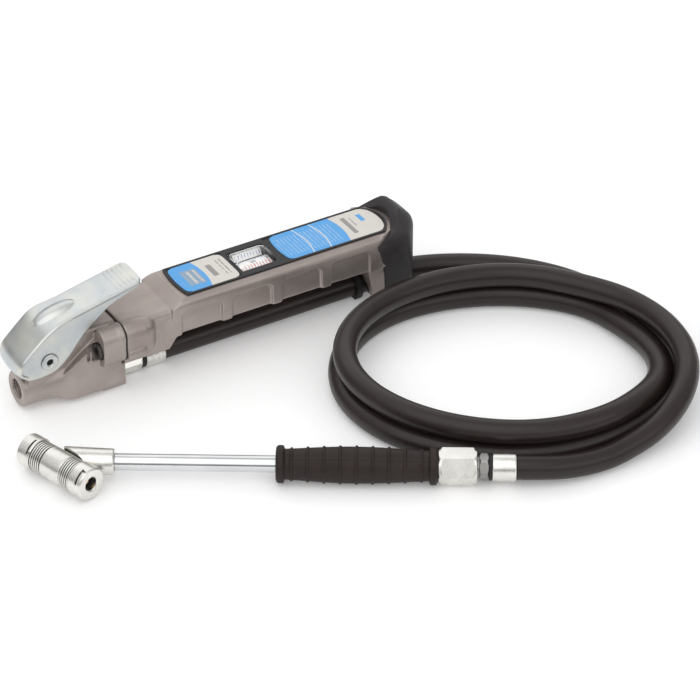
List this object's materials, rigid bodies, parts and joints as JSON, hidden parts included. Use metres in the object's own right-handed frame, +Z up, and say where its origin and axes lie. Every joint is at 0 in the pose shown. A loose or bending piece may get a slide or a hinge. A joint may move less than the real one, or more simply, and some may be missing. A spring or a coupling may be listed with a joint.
{
  "type": "portable tire inflator",
  "caption": "Hand-held airline tyre inflator: cast handle with trigger lever and barrel gauge, air hose in a loose coil, and a lance with a two-ended chuck.",
  "frame": {"origin": "on the floor, below the middle of the box round the inflator and its lance (the hose left out)", "axes": "+X from the air inlet to the rubber buffer along the handle, +Z up, the lance and coil on the -Y side"},
  "size_m": [0.3995, 0.2592, 0.0705],
  "materials": {
    "cast_alloy": "satin die-cast alloy, fine sand texture",
    "zinc_steel": "bright zinc-plated pressed steel, faint blue and yellow tints",
    "plated_fitting": "bright nickel-plated turned brass",
    "chrome_tube": "polished chrome",
    "brass": "turned brass",
    "hose_rubber": "dark rubber with a fine cloth-wrapped texture",
    "grip_rubber": "matte moulded rubber",
    "buffer_rubber": "charcoal satin moulded rubber",
    "black_plastic": "black moulded plastic",
    "label_print": null,
    "lens_clear": "clear moulded plastic",
    "scale_print": "white printed scale with red and blue ticks and numbers",
    "seal_rubber": "black nitrile rubber",
    "spring_steel": "bright spring wire",
    "screw_steel": "blackened steel"
  },
  "bodies": {
    "inflator": {"valve_body": "cast_alloy", "inlet_filter": "brass", "inflate_valve_guide": "brass", "inflate_valve_spring": "spring_steel", "deflate_valve_guide": "brass", "deflate_valve_spring": "spring_steel", "trigger_rivet": "zinc_steel", "body_gasket": "seal_rubber", "body_screws": "screw_steel", "handle_casting": "cast_alloy", "rear_buffer": "buffer_rubber", "hose_bush": "seal_rubber", "label_frame": "black_plastic", "front_label": "label_print", "rear_label": "label_print", "gauge_lens": "lens_clear", "lens_gasket": "seal_rubber", "gauge_cylinder": "brass", "gauge_o_ring": "seal_rubber", "gauge_rod_guide": "brass", "gauge_spring": "spring_steel", "gauge_end_plug": "brass", "outlet_adaptor": "plated_fitting", "outlet_washer": "seal_rubber", "outlet_ferrule": "plated_fitting", "outlet_hose_tail": "brass", "lance_tube": "chrome_tube", "lance_grip": "grip_rubber", "lance_coupler": "plated_fitting", "lance_hose_tail": "plated_fitting", "lance_washer": "seal_rubber", "lance_ferrule": "plated_fitting", "chuck_body": "plated_fitting", "chuck_nuts": "plated_fitting", "chuck_seals": "seal_rubber", "valve_pin_spring_near": "spring_steel", "valve_pin_spring_far": "spring_steel", "hose_run": "hose_rubber", "hose_end": "hose_rubber", "hose_coil": "hose_rubber"},
    "trigger": {"trigger_lever": "zinc_steel"},
    "inflate_valve": {"inflate_valve_stem": "plated_fitting", "inflate_valve_seal": "seal_rubber"},
    "deflate_valve": {"deflate_valve_stem": "plated_fitting", "deflate_valve_seal": "seal_rubber"},
    "gauge_piston_group": {"gauge_piston": "brass", "gauge_piston_seal": "seal_rubber", "gauge_scale_barrel": "scale_print", "gauge_rod_nut": "zinc_steel"},
    "near_pin": {"valve_pin_near": "brass"},
    "far_pin": {"valve_pin_far": "brass"}
  },
  "joints": [
    {"name": "trigger_press", "type": "hinge", "parent": "inflator", "child": "trigger", "pos_m": [-0.103, 0.0993, 0.033], "axis": [0, 1, 0], "range_deg": [0, 11], "stiffness_Nm_per_rad": 3, "springref_deg": -11.46},
    {"name": "inflate_stem_slide", "type": "slide", "parent": "inflator", "child": "inflate_valve", "axis": [0, 0, -1], "range_m": [0, 0.0038], "deforming": ["inflate_valve_spring"]},
    {"name": "deflate_stem_slide", "type": "slide", "parent": "inflator", "child": "deflate_valve", "axis": [0, 0, -1], "range_m": [0, 0.0064], "deforming": ["deflate_valve_spring"]},
    {"name": "gauge_slide", "type": "slide", "parent": "inflator", "child": "gauge_piston_group", "axis": [1, 0, 0], "range_m": [0, 0.03], "stiffness_N_per_m": 800, "springref_m": -0.004, "deforming": ["gauge_spring"]},
    {"name": "near_pin_slide", "type": "slide", "parent": "inflator", "child": "near_pin", "axis": [-0.3007, 0.9537, 0], "range_m": [0, 0.002], "stiffness_N_per_m": 400, "springref_m": -0.002, "deforming": ["valve_pin_spring_near"]},
    {"name": "far_pin_slide", "type": "slide", "parent": "inflator", "child": "far_pin", "axis": [0.3007, -0.9537, 0], "range_m": [0, 0.002], "stiffness_N_per_m": 400, "springref_m": -0.002, "deforming": ["valve_pin_spring_far"]}
  ],
  "couplings": [
    {"joint": "inflate_stem_slide", "follows": "trigger_press", "m_per_rad": 0.0196},
    {"joint": "deflate_stem_slide", "follows": "trigger_press", "m_per_rad": 0.0332}
  ]
}
